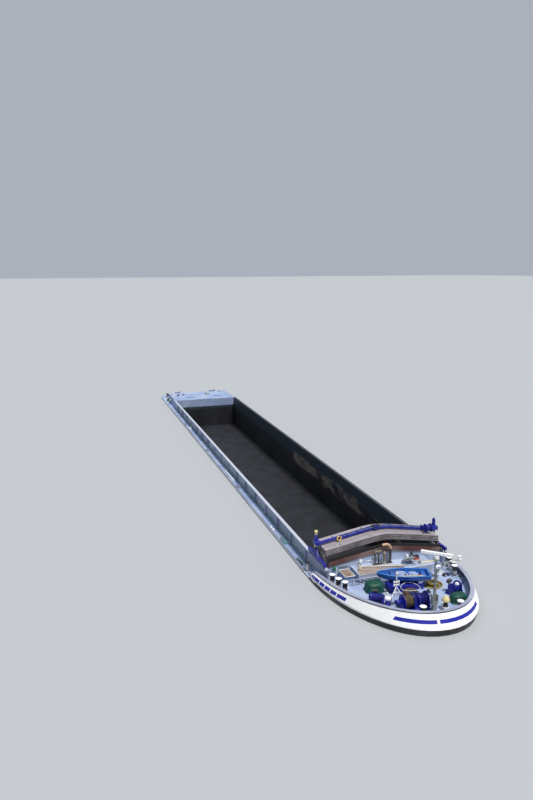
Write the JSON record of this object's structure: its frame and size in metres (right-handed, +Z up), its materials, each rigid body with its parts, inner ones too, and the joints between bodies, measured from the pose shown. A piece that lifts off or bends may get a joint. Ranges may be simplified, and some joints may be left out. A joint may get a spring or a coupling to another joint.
{
  "type": "river barge, half-size scale model of a 70 m hold lighter",
  "caption": "Open-hold river barge with a ship-shaped bow, gantry with stacked hatch covers, foredeck winches, folding mast and radar; half-size model.",
  "frame": {"origin": "centre of the flat bottom, amidships, at the level that the hull stands on", "axes": "+X forward along the ship, +Y to port, +Z up"},
  "size_m": [34.91, 4.75, 3.5456],
  "materials": {
    "hull_black": "matte",
    "hold_steel": "worn, rusty",
    "deck_paint": "satin, worn",
    "coaming_paint": "satin, worn",
    "brown_paint": "matte",
    "white_paint": "gloss",
    "rail_paint": "worn",
    "bollard_black": "satin",
    "royal_blue": "gloss",
    "cover_alloy": "weathered",
    "beige_paint": "worn",
    "boat_blue": "gloss",
    "galvanised": "dull",
    "exhaust_steel": "sooty",
    "mast_grey": "satin",
    "green_tarpaulin": "matte",
    "rope": "matte"
  },
  "bodies": {
    "root": {"bow_section": "hull_black", "double_bottom": "hold_steel", "side_tank_starboard": "deck_paint", "side_tank_port": "deck_paint", "stern_section": "hull_black", "coaming_starboard": "coaming_paint", "coaming_port": "coaming_paint", "fore_bulkhead": "brown_paint", "aft_deckhouse": "deck_paint", "bow_bulwark": "white_paint", "bulwark_cap_rail": "rail_paint", "gunwale_starboard": "coaming_paint", "gunwale_port": "coaming_paint", "bollards_fore_starboard": "bollard_black", "bollards_fore_port": "bollard_black", "bollards_stern_starboard": "bollard_black", "bollards_stern_port": "bollard_black", "bow_bollard_starboard": "bollard_black", "bow_bollard_port": "bollard_black", "windlass_starboard_frame": "royal_blue", "windlass_port_frame": "royal_blue", "mooring_winch_starboard_frame": "royal_blue", "mooring_winch_port_frame": "royal_blue", "coupling_winch_starboard_frame": "royal_blue", "coupling_winch_port_frame": "royal_blue", "power_pack_casing": "royal_blue", "engine_trunk": "beige_paint", "store_hatch_coaming": "deck_paint", "dinghy": "boat_blue", "dinghy_chocks": "hold_steel", "deck_ladder": "galvanised", "gangway": "beige_paint", "exhaust_pipes": "exhaust_steel", "signal_tripod": "white_paint", "mast_tabernacle": "mast_grey", "green_cover_starboard": "green_tarpaulin", "green_cover_port": "green_tarpaulin", "rope_coil_deck": "rope", "rope_tub": "hold_steel", "rope_coil_tub": "rope", "hatch_cover_1": "cover_alloy", "hatch_cover_2": "cover_alloy", "hatch_cover_3": "cover_alloy", "hatch_cover_4": "cover_alloy"},
    "gantry": {"gantry_carriage_starboard": "royal_blue", "gantry_carriage_port": "royal_blue"},
    "lift_beam": {"lift_beam": "royal_blue"},
    "cable_reel": {"cable_reel": "royal_blue"},
    "mast": {"mast": "mast_grey", "radar_gearbox": "white_paint"},
    "radar": {"radar_bar": "white_paint"},
    "engine_hatch_lid": {"engine_hatch_lid": "beige_paint"},
    "store_hatch_lid": {"store_hatch_lid": "brown_paint"},
    "windlass_starboard_drum": {"windlass_starboard_drum": "royal_blue"},
    "windlass_port_drum": {"windlass_port_drum": "royal_blue"},
    "mooring_winch_starboard_drum": {"mooring_winch_starboard_drum": "royal_blue"},
    "mooring_winch_port_drum": {"mooring_winch_port_drum": "royal_blue"},
    "coupling_winch_starboard_drum": {"coupling_winch_starboard_drum": "royal_blue"},
    "coupling_winch_port_drum": {"coupling_winch_port_drum": "royal_blue"}
  },
  "joints": [
    {"name": "gantry_travel", "type": "slide", "parent": "root", "child": "gantry", "axis": [-1, 0, 0], "range_m": [0, 24.9]},
    {"name": "beam_lift", "type": "slide", "parent": "gantry", "child": "lift_beam", "axis": [0, 0, 1], "range_m": [0, 0.25]},
    {"name": "cable_reel_spin", "type": "hinge", "parent": "lift_beam", "child": "cable_reel", "pos_m": [13.325, 1.68, 2.815], "axis": [0, 1, 0], "continuous": true},
    {"name": "mast_lower", "type": "hinge", "parent": "root", "child": "mast", "pos_m": [16.5, 0.05, 2.2253], "axis": [0, -1, 0], "range_deg": [0, 70]},
    {"name": "radar_spin", "type": "hinge", "parent": "mast", "child": "radar", "pos_m": [16.5, 0.05, 3.4706], "axis": [0, 0, 1], "continuous": true},
    {"name": "engine_hatch_open", "type": "hinge", "parent": "root", "child": "engine_hatch_lid", "pos_m": [13.91, 0.61, 2.0763], "axis": [0, -1, 0], "range_deg": [-40, 45]},
    {"name": "store_hatch_open", "type": "hinge", "parent": "root", "child": "store_hatch_lid", "pos_m": [13.72, -1.455, 1.9563], "axis": [0, -1, 0], "range_deg": [0, 80]},
    {"name": "windlass_starboard_spin", "type": "hinge", "parent": "root", "child": "windlass_starboard_drum", "pos_m": [16.1, -0.565, 2.0003], "axis": [0, 1, 0], "continuous": true},
    {"name": "windlass_port_spin", "type": "hinge", "parent": "root", "child": "windlass_port_drum", "pos_m": [16.1, -0.12, 2.0003], "axis": [0, 1, 0], "continuous": true},
    {"name": "mooring_winch_starboard_spin", "type": "hinge", "parent": "root", "child": "mooring_winch_starboard_drum", "pos_m": [15.59, -1.26, 1.9603], "axis": [0.435, 0.9004, 0], "continuous": true},
    {"name": "mooring_winch_port_spin", "type": "hinge", "parent": "root", "child": "mooring_winch_port_drum", "pos_m": [15.7, 1.225, 1.9603], "axis": [-0.435, 0.9004, 0], "continuous": true},
    {"name": "coupling_winch_starboard_spin", "type": "hinge", "parent": "root", "child": "coupling_winch_starboard_drum", "pos_m": [-16.45, -1.275, 1.8103], "axis": [0, 1, 0], "continuous": true},
    {"name": "coupling_winch_port_spin", "type": "hinge", "parent": "root", "child": "coupling_winch_port_drum", "pos_m": [-16.45, 1.275, 1.8103], "axis": [0, 1, 0], "continuous": true}
  ]
}
